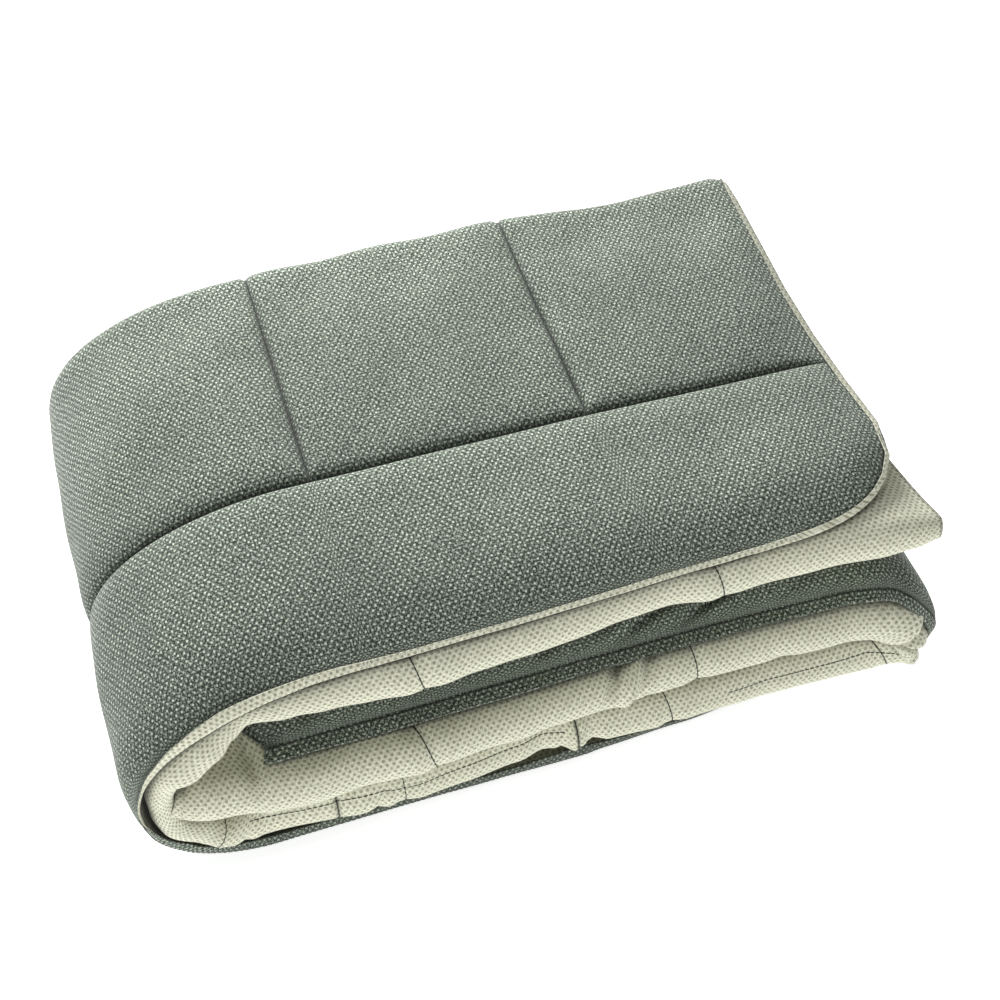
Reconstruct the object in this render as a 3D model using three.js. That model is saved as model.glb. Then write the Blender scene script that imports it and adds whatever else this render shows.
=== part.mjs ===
// A quilt folded in three across its width and then rolled in three along its length.
// Sizes in mm, Z up. X runs along the folded strip, Y across it, and the pack rests on Z = 0.
//
// The flat quilt is one filled sheet. It is first folded like a letter Z across its width, which
// gives a strip of three layers: layer 1 (outside) runs from its hemmed edge to the far fold, layer 2
// comes back to the near fold, and layer 3 (inside) runs to the other hem. The strip then lies on top
// of the pack, turns down round the left bend, runs along the bottom, turns up round the right bend,
// and ends as the middle of the pack, inside the left bend.
import * as THREE from 'three';

// The filled layers.
const LAYER_PITCH = 19.8; // from the middle of one layer to the middle of the next
const FULL_HALF = 9.4; // half of a layer's thickness where it is not sewn
const SEAM_HALF = 6.4; // half thickness at a quilting seam
const HEM_HALF = 1.6; // half thickness of the flat hem
const HEM_WIDTH = 7;

// The strip's path, by its middle layer.
const TOP_Z = 162.5;
const BOTTOM_Z = 29.2;
const MIDDLE_Z = 90.8;
const TOP_END_X = 174; // the free end of the quilt, on top at the right
const TOP_LEFT_X = -205; // where the top begins to turn down
const BOTTOM_LEFT_X = -266; // where the left bend has come round to the bottom
const LEFT_REACH_X = -324; // furthest left of the middle layer
const RIGHT_X = 151; // where the right bend begins and ends
const RIGHT_REACH = 34; // how far the middle layer goes beyond that
const MIDDLE_END_X = -262; // the end tucked inside
const LEFT_PITCH = 18.2; // layers lie a little closer at the outside of the left bend
const RISE = 0.000196; // the pack is a little higher at its far side, per mm of Y

// The strip across, by the middle of each layer.
const HEM_Y = -145; // the hemmed edge of layer 1, at the near side
const LONG_SEAM_Y = -4;
const FAR_FOLD_Y = 184; // where layer 1 turns over into layer 2
const NEAR_FOLD_Y = -136; // where layer 2 turns under into layer 3
const INNER_HEM_Y = 190; // the hemmed edge of layer 3
const CORNER_RADIUS = 45; // rounded corner of the hemmed edge and the free end

// The free end lifts a little towards its near corner.
const LIFT = 14;

// Stations across the quilt, hem to hem. `layer` is 1, 0 or -1 for layers 1, 2 and 3, `y` is where it
// lies, and `half` is half of the thickness. `cell` tells where the cross seams run.
const ACROSS = [
  { layer: 1, y: HEM_Y, half: HEM_HALF, cell: false },
  { layer: 1, y: HEM_Y + 2, half: HEM_HALF, cell: false },
  { layer: 1, y: HEM_Y + HEM_WIDTH, half: HEM_HALF + 0.4, cell: false },
  { layer: 1, y: -131, half: 5.6, cell: false },
  { layer: 1, y: -117, half: 8.2, cell: false },
  { layer: 1, y: -95, half: FULL_HALF, cell: false },
  { layer: 1, y: -45, half: FULL_HALF, cell: false },
  { layer: 1, y: LONG_SEAM_Y - 13, half: 8.8, cell: false },
  { layer: 1, y: LONG_SEAM_Y, half: SEAM_HALF, cell: false },
  { layer: 1, y: LONG_SEAM_Y + 13, half: 8.8, cell: true },
  { layer: 1, y: 55, half: FULL_HALF, cell: true },
  { layer: 1, y: 125, half: FULL_HALF, cell: true },
  { layer: 1, y: 170, half: FULL_HALF, cell: true },
  ...fold(FAR_FOLD_Y, 0.5, 0.5, 9, 1),
  { layer: 0, y: 130, half: FULL_HALF, cell: true },
  { layer: 0, y: 55, half: FULL_HALF, cell: true },
  { layer: 0, y: LONG_SEAM_Y, half: SEAM_HALF + 1, cell: true },
  { layer: 0, y: -60, half: FULL_HALF, cell: true },
  { layer: 0, y: -110, half: 8.6, cell: true },
  ...fold(NEAR_FOLD_Y, -0.5, 0.5, 7.6, -1),
  { layer: -1, y: -110, half: 8.6, cell: true },
  { layer: -1, y: -60, half: FULL_HALF, cell: true },
  { layer: -1, y: LONG_SEAM_Y, half: SEAM_HALF + 1, cell: true },
  { layer: -1, y: 55, half: FULL_HALF, cell: true },
  { layer: -1, y: 130, half: FULL_HALF, cell: true },
  { layer: -1, y: 166, half: 7.5, cell: true },
  { layer: -1, y: INNER_HEM_Y - HEM_WIDTH, half: HEM_HALF + 0.4, cell: false },
  { layer: -1, y: INNER_HEM_Y, half: HEM_HALF, cell: false },
];

// Stations along the strip. `part` is the stretch of the path, `at` is X on a flat stretch and the
// share of the half turn on a bend, `fill` scales the thickness, and `seam` marks a cross seam.
const ALONG = [
  { part: 'top', at: TOP_END_X, fill: 0.22, seam: false },
  { part: 'top', at: 166, fill: 0.34, seam: false },
  { part: 'top', at: 154, fill: 0.86, seam: false },
  { part: 'top', at: 130, fill: 1, seam: false },
  { part: 'top', at: 70, fill: 1, seam: false },
  { part: 'top', at: 13, fill: 1, seam: false },
  { part: 'top', at: 0, fill: 1, seam: true },
  { part: 'top', at: -13, fill: 1, seam: false },
  { part: 'top', at: -95, fill: 1, seam: false },
  { part: 'top', at: -177, fill: 1, seam: false },
  { part: 'top', at: -190, fill: 1, seam: true },
  { part: 'left', at: 0, fill: 1, seam: false },
  { part: 'left', at: 0.13, fill: 1, seam: false },
  { part: 'left', at: 0.26, fill: 1, seam: false },
  { part: 'left', at: 0.38, fill: 0.98, seam: false },
  { part: 'left', at: 0.5, fill: 0.96, seam: false },
  { part: 'left', at: 0.62, fill: 0.96, seam: false },
  { part: 'left', at: 0.74, fill: 0.96, seam: false },
  { part: 'left', at: 0.87, fill: 0.98, seam: false },
  { part: 'bottom', at: BOTTOM_LEFT_X, fill: 1, seam: false },
  { part: 'bottom', at: -240, fill: 1, seam: false },
  { part: 'bottom', at: -230, fill: 1, seam: true },
  { part: 'bottom', at: -218, fill: 1, seam: false },
  { part: 'bottom', at: -150, fill: 1, seam: false },
  { part: 'bottom', at: -72, fill: 1, seam: false },
  { part: 'bottom', at: -60, fill: 1, seam: true },
  { part: 'bottom', at: -48, fill: 1, seam: false },
  { part: 'bottom', at: 50, fill: 1, seam: false },
  { part: 'right', at: 0, fill: 1, seam: false },
  { part: 'right', at: 0.17, fill: 0.98, seam: false },
  { part: 'right', at: 0.34, fill: 0.96, seam: false },
  { part: 'right', at: 0.5, fill: 0.96, seam: false },
  { part: 'right', at: 0.66, fill: 0.96, seam: false },
  { part: 'right', at: 0.83, fill: 0.98, seam: false },
  { part: 'middle', at: RIGHT_X, fill: 1, seam: false },
  { part: 'middle', at: 80, fill: 1, seam: false },
  { part: 'middle', at: 30, fill: 1, seam: false },
  { part: 'middle', at: 18, fill: 1, seam: true },
  { part: 'middle', at: 6, fill: 1, seam: false },
  { part: 'middle', at: -70, fill: 1, seam: false },
  { part: 'middle', at: -150, fill: 1, seam: false },
  { part: 'middle', at: -162, fill: 1, seam: true },
  { part: 'middle', at: -174, fill: 1, seam: false },
  { part: 'middle', at: -225, fill: 1, seam: false },
  { part: 'middle', at: -250, fill: 0.84, seam: false },
  { part: 'middle', at: -257, fill: 0.34, seam: false },
  { part: 'middle', at: MIDDLE_END_X, fill: 0.22, seam: false },
];

// How far each stretch shifts the hem of layer 1 and the near fold, in mm of Y, and how thick the near
// fold is. The top is drawn in and thin at its near fold.
const NEAR_SIDE = {
  top: { hem: 0, fold: -7, roll: 0.72 },
  left: { hem: -2, fold: -7, roll: 0.86 },
  bottom: { hem: -1, fold: -6, roll: 1 },
  right: { hem: 2, fold: -3, roll: 1 },
  middle: { hem: 2, fold: -5, roll: 0.9 },
};

// The stations of a half turn between two layers, as seen across the quilt.
function fold(y, layer, reach, half, side) {
  const rows = [];
  const steps = 5;
  for (let k = 0; k <= steps; k += 1) {
    const turn = (Math.PI * k) / steps;
    rows.push({
      layer: layer + reach * Math.cos(turn),
      y: y + side * LAYER_PITCH * reach * Math.sin(turn),
      half,
      cell: true,
    });
  }
  return rows;
}

function smooth(low, high, value) {
  const t = Math.min(1, Math.max(0, (value - low) / (high - low)));
  return t * t * (3 - 2 * t);
}

// Where the free end on top stops, for a point of a layer at a given Y.
function topEnd(layer, y) {
  const under = TOP_END_X + 3 + 13 * smooth(60, -60, y);
  const into = Math.max(0, HEM_Y + CORNER_RADIUS - y);
  const across = Math.sqrt(Math.max(0, CORNER_RADIUS ** 2 - into ** 2));
  const rounded = TOP_END_X - CORNER_RADIUS + across;
  return layer > 0.8 ? rounded : under - (under - TOP_END_X) * Math.max(0, layer) ** 2;
}

// Where the tucked end stops. Layer 2 goes furthest into the left bend.
function middleEnd(layer) {
  const depth = layer >= 0 ? 26 : 20;
  return MIDDLE_END_X - depth * (1 - layer ** 2) - (layer < 0 ? 6 : 0);
}

// The near folds of the stretches are not alike: this sets a station's Y, layer and thickness.
function acrossAt(station, row) {
  const near = NEAR_SIDE[station.part];
  const closeness = smooth(-40, -125, row.y);
  if (row.layer > 0.99) {
    return { y: row.y + near.hem * closeness, layer: row.layer, half: row.half };
  }
  if (row.layer > 0.01) {
    return { y: row.y, layer: row.layer, half: row.half };
  }
  const roll = 1 + (near.roll - 1) * closeness;
  const beyond = Math.min(0, row.y - NEAR_FOLD_Y) * (roll - 1);
  return {
    y: row.y + beyond + near.fold * closeness,
    layer: row.layer * roll,
    half: row.half * roll,
  };
}

// A point of the strip: X and Z of the middle layer's path, and the step to the next layer out.
function path(part, at, layer, y) {
  if (part === 'top') {
    const bend = 100;
    const end = topEnd(layer, y);
    const x = at <= bend ? at : bend + ((at - bend) * (end - bend)) / (TOP_END_X - bend);
    return { x, z: TOP_Z, stepX: 0, stepZ: LAYER_PITCH };
  }
  if (part === 'left') {
    const turn = Math.PI * at;
    const from = at < 0.5 ? TOP_LEFT_X : BOTTOM_LEFT_X;
    const reach = from - LEFT_REACH_X;
    const middle = (TOP_Z + BOTTOM_Z) / 2;
    return {
      x: from - reach * Math.sin(turn),
      z: middle + ((TOP_Z - BOTTOM_Z) / 2) * Math.cos(turn),
      stepX: -LEFT_PITCH * Math.sin(turn),
      stepZ: LAYER_PITCH * Math.cos(turn),
    };
  }
  if (part === 'bottom') {
    return { x: at, z: BOTTOM_Z, stepX: 0, stepZ: -LAYER_PITCH };
  }
  if (part === 'right') {
    const turn = Math.PI * at;
    const middle = (MIDDLE_Z + BOTTOM_Z) / 2;
    return {
      x: RIGHT_X + RIGHT_REACH * Math.sin(turn),
      z: middle - ((MIDDLE_Z - BOTTOM_Z) / 2) * Math.cos(turn),
      stepX: LAYER_PITCH * Math.sin(turn),
      stepZ: -LAYER_PITCH * Math.cos(turn),
    };
  }
  const bend = -200;
  const end = middleEnd(layer);
  const x = at >= bend ? at : bend + ((at - bend) * (end - bend)) / (MIDDLE_END_X - bend);
  return { x, z: MIDDLE_Z, stepX: 0, stepZ: LAYER_PITCH };
}

function place(station, y, layer, endLayer, endY) {
  const p = path(station.part, station.at, endLayer, endY);
  const x = p.x + layer * p.stepX;
  const z = p.z + layer * p.stepZ;
  const lift = station.part === 'top' ? LIFT * smooth(-205, 150, x) * smooth(20, -130, y) : 0;
  return new THREE.Vector3(x, y, z * (1 + RISE * y) + lift);
}

// The two faces of the quilt at one station along it: the outside points and the inside points.
function sectionAt(station) {
  const rows = ACROSS.map((row) => acrossAt(station, row));
  return ACROSS.map((row, j) => {
    const before = rows[Math.max(0, j - 1)];
    const after = rows[Math.min(rows.length - 1, j + 1)];
    const dy = after.y - before.y;
    const dz = (after.layer - before.layer) * LAYER_PITCH;
    const length = Math.hypot(dy, dz);
    const here = rows[j];
    const sewn = station.seam && row.cell ? SEAM_HALF / FULL_HALF : 1;
    const half = Math.max(HEM_HALF, here.half * station.fill * sewn);
    const sideY = (-dz / length) * half;
    const sideLayer = ((dy / length) * half) / LAYER_PITCH;
    const at = (sign) => place(
      station,
      here.y + sign * sideY,
      here.layer + sign * sideLayer,
      here.layer,
      here.y,
    );
    return { outside: at(1), inside: at(-1) };
  });
}

function buildQuilt() {
  const positions = [];
  const sections = ALONG.map(sectionAt);
  const across = ACROSS.length;
  sections.forEach((section) => {
    section.forEach(({ outside, inside }) => {
      positions.push(outside.x, outside.y, outside.z);
      positions.push(inside.x, inside.y, inside.z);
    });
  });
  const lowest = Math.min(...positions.filter((_, k) => k % 3 === 2));
  for (let k = 2; k < positions.length; k += 3) {
    positions[k] -= lowest;
  }

  const faces = [];
  const quad = (a, b, c, d) => faces.push(a, b, c, a, c, d);
  const out = (i, j) => 2 * (i * across + j);
  const inn = (i, j) => out(i, j) + 1;
  for (let i = 0; i + 1 < sections.length; i += 1) {
    for (let j = 0; j + 1 < across; j += 1) {
      quad(out(i, j), out(i, j + 1), out(i + 1, j + 1), out(i + 1, j));
      quad(inn(i, j), inn(i + 1, j), inn(i + 1, j + 1), inn(i, j + 1));
    }
    const last = across - 1;
    quad(out(i, 0), out(i + 1, 0), inn(i + 1, 0), inn(i, 0));
    quad(out(i, last), inn(i, last), inn(i + 1, last), out(i + 1, last));
  }
  for (let j = 0; j + 1 < across; j += 1) {
    const last = sections.length - 1;
    quad(out(0, j), inn(0, j), inn(0, j + 1), out(0, j + 1));
    quad(out(last, j), out(last, j + 1), inn(last, j + 1), inn(last, j));
  }

  const geometry = new THREE.BufferGeometry();
  geometry.setAttribute('position', new THREE.Float32BufferAttribute(positions, 3));
  geometry.setIndex(faces);
  geometry.computeBoundingBox();
  const box = geometry.boundingBox;
  geometry.translate(-(box.min.x + box.max.x) / 2, -(box.min.y + box.max.y) / 2, 0);
  geometry.computeVertexNormals();
  return geometry;
}

const material = new THREE.MeshStandardMaterial({ color: 0x767f72, roughness: 0.95 });
const quilt = new THREE.Mesh(buildQuilt(), material);
quilt.name = 'quilt';

const group = new THREE.Group();
group.name = 'folded_quilt';
group.add(quilt);

export default group;
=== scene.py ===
"""A quilt folded in three across its width and rolled in three along its length.

The pack is one closed padded body with a dark speckled face and a pale dotted back, a flat hem
that is turned up or down along the open side, and rows of stitches in its seams and its hem.
"""

import math

import bpy
import numpy as np
from bpy.props import FloatProperty, FloatVectorProperty, PointerProperty
from mathutils import Matrix, Vector


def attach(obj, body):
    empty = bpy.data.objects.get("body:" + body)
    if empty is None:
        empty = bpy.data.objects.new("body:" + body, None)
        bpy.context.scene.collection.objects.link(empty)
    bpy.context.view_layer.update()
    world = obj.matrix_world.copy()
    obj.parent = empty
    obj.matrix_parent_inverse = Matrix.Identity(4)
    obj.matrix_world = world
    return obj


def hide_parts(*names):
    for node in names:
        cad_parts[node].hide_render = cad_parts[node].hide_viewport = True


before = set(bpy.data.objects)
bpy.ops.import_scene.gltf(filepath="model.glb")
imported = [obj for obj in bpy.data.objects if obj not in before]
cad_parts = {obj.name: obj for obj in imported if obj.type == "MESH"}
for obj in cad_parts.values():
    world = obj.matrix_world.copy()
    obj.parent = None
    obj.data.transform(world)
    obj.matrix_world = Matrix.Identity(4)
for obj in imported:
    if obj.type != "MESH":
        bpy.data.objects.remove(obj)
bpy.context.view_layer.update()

bl_info = {
    "name": "Folded quilt",
    "version": (1, 0, 0),
    "blender": (4, 5, 0),
    "location": "3D View > Sidebar > Quilt",
    "description": "Builds a quilt folded into a flat pack, with its seams, hem and stitches",
    "category": "Add Mesh",
}

# The strip's path, as in the CAD part, in mm. X runs along the strip, Y across it, Z is up.
TOP_Z = 162.5  # heights of the middle of its three runs
BOTTOM_Z = 29.2
MIDDLE_Z = 90.8
TOP_END_X = 174.0  # the free end
TOP_LEFT_X = -205.0  # where the left bend begins on top, and ends on the bottom
BOTTOM_LEFT_X = -266.0
LEFT_REACH_X = -324.0  # how far left that bend goes
RIGHT_X = 151.0  # where the right bend begins, and how far right it goes
RIGHT_REACH = 34.0
MIDDLE_END_X = -262.0  # the inner end
LEFT_PITCH_SHARE = 18.2 / 19.8  # the layers lie closer together in the left bend
RISE = 0.000196  # how much the pack grows in height for each mm towards its far side
LIFT = 14.0  # how far the near right corner of the top lies above the rest
LIFT_X = (-205, 150)  # from nothing to its full share
LIFT_Y = (20, -130)
HEM_Y = -145.0
FAR_FOLD_Y = 184.0
NEAR_FOLD_Y = -136.0
INNER_HEM_Y = 190.0
FOLD_RADIUS = 9.9
MOVE = np.array((68.3, -21.7, 0.0))  # from the strip's own origin to the centre of the pack

# Lengths along the strip, from the free end on top to the end inside.
TOP_LENGTH = TOP_END_X - TOP_LEFT_X
LEFT_LENGTH = 290.0
BOTTOM_LENGTH = RIGHT_X - BOTTOM_LEFT_X
RIGHT_LENGTH = 102.0
MIDDLE_LENGTH = RIGHT_X - MIDDLE_END_X
LEFT_START = TOP_LENGTH
BOTTOM_START = LEFT_START + LEFT_LENGTH
RIGHT_START = BOTTOM_START + BOTTOM_LENGTH
MIDDLE_START = RIGHT_START + RIGHT_LENGTH
STRIP_LENGTH = MIDDLE_START + MIDDLE_LENGTH

# Lengths across the strip, from the hem of layer 1 to the hem of layer 3.
FOLD_LENGTH = math.pi * FOLD_RADIUS
FAR_FOLD_W = FAR_FOLD_Y - HEM_Y
LAYER_2_W = FAR_FOLD_W + FOLD_LENGTH
NEAR_FOLD_W = LAYER_2_W + FAR_FOLD_Y - NEAR_FOLD_Y
LAYER_3_W = NEAR_FOLD_W + FOLD_LENGTH
STRIP_WIDTH = LAYER_3_W + INNER_HEM_Y - NEAR_FOLD_Y
NEAR_FOLD_MIDDLE_W = (NEAR_FOLD_W + LAYER_3_W) / 2
NEAR_PART_W = 200.0  # the part of layer 1 from its hem to here takes the hem's own forms

# The free end. Its near corner is rounded on layer 1, and the layer below reaches past it.
CORNER_Y = -60.0  # where the rounded corner begins
CORNER_LONG = 106.0  # how far it goes along the hem
CORNER_POWER = 2.6  # how square it is: 2 is an ellipse
CORNER_LAYER = 0.8  # it belongs to the cloth above this layer
CORNER_DRAW_X = 100.0  # the cloth is drawn out to the end from here
CORNER_DRAW_LEAST = 40.0  # or from this far before the end
FREE_END_Y = (-65, -2, 46, 98, 145, 196)
FREE_END_X = (177.4, 176.2, 175.6, 175, 177.5, 178)
UNDER_END_Y = (-154, -148, -130, -93, -60, -20, FAR_FOLD_Y)
UNDER_END_X = (184, 185.5, 182, 179, 179, 179.5, 178.5)
CORNER_DROOP_S = 1145.0  # where the near corner of the bend under the free end hangs down
CORNER_DROOP = 8.0
CORNER_DROOP_IN = 4.5  # how far that corner is drawn in at the same time
END_RISE = 4.5  # how far the far corner of the free end is pushed up

# The inner end. It goes further along the near fold than along the hem.
INNER_END_X = MIDDLE_END_X + 5.0
INNER_FOLD_END_X = -313.0
INNER_HOLLOWS = (26.0, 20.0)  # how much further the folds between its layers go, far and near
INNER_LAYER_3_STEP = 6.0
INNER_SLANT = 15.0
INNER_SLANT_Y = (-134, -108)
INNER_REACH_Y = (-50, -120)  # from the hem's end to the fold's end
INNER_DRAW_X = -200.0  # the cloth is drawn out to the end from here

# The cross seams: where each crosses layer 1, where it crosses the near fold, and how far it moves
# along there for each mm across.
CROSS_SEAMS = (
    (174.0, 137.0, -0.25),
    (364.0, 334.0, -0.3),
    (554.0, 611.0, 0.0),
    (744.0, 758.0, 0.0),
    (934.0, 947.0, -0.25),
    (1124.0, 1082.0, -0.55),
    (1314.0, 1312.0, -0.1),
    (1504.0, 1497.0, -0.35),
)
SEAM_LEAN_W = 695.0  # where on the near fold that movement is nothing
SEAM_LEAN_REACH = 45.0

# The long seams, one on each layer. A fourth shows on the near fold of the bottom: its lengths
# across at lengths along.
LONG_SEAM_W = -4.0 - HEM_Y
LAYER_2_SEAM_W = LAYER_2_W + 188
LAYER_3_SEAM_W = LAYER_3_W + 132
SEAM_SHIFT = 2.8  # how far the first wanders from the free end's side to the rest
FOLD_SEAM_S = (636.0, 660.0, 690.0, 735.0, 759.0, 821.0, 863.0, 991.0, 1071.0, 1125.0)
FOLD_SEAM_W = (704.0, 702.0, 701.2, 701.7, 700.5, 702.0, 702.5, 701.0, 702.0, 692.0)
FOLD_SEAM_STITCHES = ((640, 876), (988, 1125))  # the stretches that show
FOLD_SEAM_SUNK = 0.22  # how deep its thin stitches lie in the cloth
SHORT_SEAMS = ((713.0, 688.0, 708.0), (879.0, 684.0, 716.0))  # length along, from and to across

# The far edge's upper side, in mm above the plain padding.
FAR_LEVEL_S = (0, 35, 75, 110, 140, 175, 240, 300, 400, 520, 600)
FAR_LEVEL = (-2, -4.5, -5.2, -4.5, -2.5, 0.2, -0.4, -1.2, -3, -2.4, 0)

# Half thicknesses of the hem and round the far fold, in mm.
HEM_HALF = 1.1
FAR_FOLD_HALF = 9.2
LEAST_HALF = 1.0

# How far the padding slopes down to each seam and edge, in mm, and the sharp line in a seam's
# middle: its extra depth, as a share of the seam's, and its width.
CROSS_SEAM_SLOPE = 25
LONG_SEAM_SLOPE = 30
CROSS_SEAM_CUT = (0.3, 2.2)
LONG_SEAM_CUT = (0.32, 2.6)
FOLD_SEAM_CUT = (0.8, 2.6)  # in mm
FREE_END_SLOPE = 36
INNER_END_SLOPE = 34
INNER_HEM_SLOPE = 40
SEAM_LINE = 1.1  # how wide a seam's own shadow is

# The padding's soft waves and the forms beside each cross seam on the near folds, in mm.
WAVE = 0.8
WAVE_LONG = 70
CROWN = 1.3  # how much fuller the face is between the long seam and the far fold
PUFF = (0.7, 11, 5, 690, 6, 13)  # height, place and width along, place, shift and length across
PULL = (0.8, 5, 3.2, 684, -9, 8)  # a short crease, in the same order

# How the near side lies along the strip. `hem` moves the hemmed edge away from the near side and
# `drop` sinks it towards the layer inside, `fold` moves the near fold, `roll` is how thick that fold
# is, `push` how far it lies out towards the hem, in layers, and `out` how far its end bulges to the
# right. `taper` is how far from the hem the padding thins, `turn` is how far the hem is turned over
# the face, in degrees, and `wide` is the hem's width.
NEAR_COLUMNS = ("s", "hem", "drop", "taper", "fold", "roll", "push", "out", "turn", "wide")
NEAR_SIDE = (
    (0, 4, 6, 48, -9, 0.88, 0.2, 0, 140, 3.7),
    (26, 4, 6, 48, -5, 0.87, 0.2, 0, 140, 3.7),
    (70, 4, 6, 48, -2, 0.85, 0.2, 0, 140, 3.7),
    (110, 4, 6, 48, 0, 0.83, 0.2, 0, 140, 3.7),
    (137, 4, 6, 48, -1, 0.86, 0.2, 0, 140, 3.7),
    (172, 4, 6, 48, 3, 0.78, 0.2, 0, 140, 3.7),
    (225, 4, 6, 48, 0.5, 0.8, 0.2, 0, 140, 3.7),
    (270, 4, 6, 48, -0.5, 0.83, 0.2, 0, 140, 3.7),
    (334, 4, 6, 48, -2.5, 0.87, 0.2, 0, 140, 3.7),
    (365, 3.8, 6, 47, -0.5, 0.85, 0.2, 0, 138, 4.8),
    (390, 3.5, 6.5, 46, -1.5, 0.74, 0.2, 0, 134, 6.4),
    (409, 3, 7, 44, 0, 0.65, 0.22, 0, 130, 7.8),
    (432, 2, 7, 42, 3, 0.5, 0.26, 0, 125, 9.6),
    (442, 1, 6.5, 40, 0.5, 0.6, 0.28, 0, 114, 9.6),
    (458, 0, 5.5, 37, -3.5, 0.78, 0.3, 0, 101, 8),
    (480, -1, 4, 34, -5, 0.84, 0.34, 0, 74, 6.6),
    (505, -2, 2, 31, -3, 0.6, 0.38, 0, 34, 5.4),
    (530, -3, 0, 28, -4, 0.52, 0.5, 0, 4, 4.6),
    (550, -4, -1, 26, -6, 0.52, 0.62, 0, -52, 4.6),
    (565, -4, -2, 26, -8, 0.52, 0.62, 0, -80, 5.4),
    (598, -4, 0, 27, -7, 0.6, 0.35, 0, -90, 8.2),
    (611, -4, 0.8, 28, -11, 0.66, 0.25, 0, -92, 8.6),
    (624, -4, 2, 29, -8, 0.74, 0.14, 0, -95, 9),
    (645, -4, 3.5, 30, -3, 0.86, 0.06, 0, -98, 9),
    (662, -4, 4, 32, 0, 0.94, 0.02, 0, -100, 9),
    (715, -3, 3, 38, -3, 1, 0, 0, -100, 9),
    (760, -1, 0, 44, -6, 0.95, 0, 0, -100, 8),
    (800, 0, -2, 46, -4, 0.93, 0, 0, -100, 7.4),
    (838, 1, -4, 48, -1, 0.9, 0, 0, -98, 8),
    (857, 1, -4, 48, 2.5, 0.82, 0, 0, -96, 11),
    (868, 1, -4, 48, 0, 0.88, 0, 0, -95, 12),
    (879, 1, -4, 48, -5, 0.96, 0, 0, -95, 12),
    (889, 1, -4, 48, -1, 0.88, 0, 0, -94, 10),
    (902, 2, -4, 48, -3, 0.93, 0, 0, -92, 8.5),
    (960, 4, -4, 48, -4, 0.93, 0, 0, -80, 6),
    (1020, 8, -3, 48, -3.2, 0.93, 0, 0, -64, 6),
    (1055, 12, -1, 48, -4.5, 0.95, 0, 14, -60, 6),
    (1072, 14, -1.6, 46, -4, 1, 0, 20, -60, 6),
    (1082, 15, -2, 44, -6, 1, 0, 24, -60, 6),
    (1091, 16, -2.5, 42, -6, 1, 0.08, 28, -60, 6),
    (1101, 16, -3, 40, -10, 1, 0.25, 26, -62, 6),
    (1110, 12, -4, 37, -12, 1.01, 0.35, 14, -66, 6.5),
    (1120, 4, -5, 34, -12, 1.02, 0.3, 11, -70, 7),
    (1131, -5, -6, 31, -12, 1.03, 0.1, 8, -66, 8),
    (1146, -9, -6, 29, -11, 1.03, 0.04, 7.5, -56, 9),
    (1160, -4.5, -3, 28, -10, 1.02, 0.02, 7, -38, 9),
    (1175, 3, 0, 28, -9, 1, 0, 4, -20, 9),
    (1205, 9, 5, 27, -4, 0.95, 0, 0, -10, 9.5),
    (1300, 12, 6, 26, -2, 0.94, 0, 0, -10, 10),
    (1375, 12, 6, 26, -5, 0.92, 0, 0, -10, 10),
    (1449, 12, 7, 26, -9, 0.92, 0, 0, -10, 11),
    (1504, 12, 8, 26, -13, 0.92, 0, 0, -8, 11),
    (1526, 12, 8, 26, -11.5, 0.92, 0, 0, -8, 11),
    (1541, 12, 8, 26, -11, 0.92, 0, 0, -8, 11),
    (1556, 12, 8, 26, -15, 0.92, 0, 0, -8, 11),
    (1571, 12, 8, 26, -11.5, 0.92, 0, 0, -8, 11),
    (1586, 12, 8, 26, -6, 0.92, 0, 0, -8, 11),
    (1601, 12, 8, 26, -3, 0.92, 0, 0, -8, 11),
)

# Soft troughs (below 0) and ridges of the cloth, in mm. Columns: lengths along and across the strip,
# height, width along the strip, length across it, and lean, which is how far the crease moves along
# for each mm across.
BACK_CREASES = (
    (1577, 676, -6.2, 2.6, 22, 0.0),
    (1595, 690, 2.4, 11, 26, 0.0),
    (1556, 694, -2.6, 7, 8, 0.1),
    (1348, 687, -4.6, 2.6, 13, 0.6),
    (1355, 684, 4.2, 2.8, 18, 0.6),
    (1367, 680, -8.5, 3.8, 16, 0.6),
    (1344, 690, -1.8, 6, 16, 0.3),
    (1420, 705, -1.2, 9, 12, 0.4),
    (1250, 700, -1.6, 8, 9, -0.6),
    (713, 700, -2.2, 1.8, 9, 0.0),
    (729, 700, 1.6, 8, 12, 0.4),
    (741, 694, -2.0, 4, 14, 0.5),
    (880, 700, -2.8, 1.8, 14, -0.1),
    (870, 690, -2.2, 5, 10, 0.7),
    (893, 690, -2.2, 5, 10, -0.7),
    (1015, 700, -1.4, 9, 10, 0.3),
    (646, 700, -1.8, 6, 14, 0.7),
    (1124, 690, -6.5, 5, 20, 0.8),
    (1136, 698, 2.0, 5, 20, 0.8),
    (1148, 686, -7.0, 4.5, 18, -0.5),
    (1160, 700, 1.5, 5, 18, 0.3),
    (300, 690, -0.9, 9, 16, 0.3),
    (210, 696, -1.0, 12, 14, -0.3),
)
FACE_CREASES = (
    (1560, 22, -2.4, 6, 14, -1.2),
    (1530, 26, 1.2, 7, 16, -1.1),
    (1490, 22, -2.4, 5, 14, -1.4),
    (1440, 26, -2.0, 7, 14, -1.6),
    (1395, 24, -3.0, 6, 16, -1.3),
    (1350, 20, 2.2, 7, 16, -1.6),
    (1325, 24, -4.0, 5, 18, -1.8),
    (1270, 26, -5.0, 6, 20, -2.2),
    (1253, 26, 3.0, 7, 20, -2.2),
    (1225, 20, -2.6, 6, 14, -1.2),
)

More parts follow.
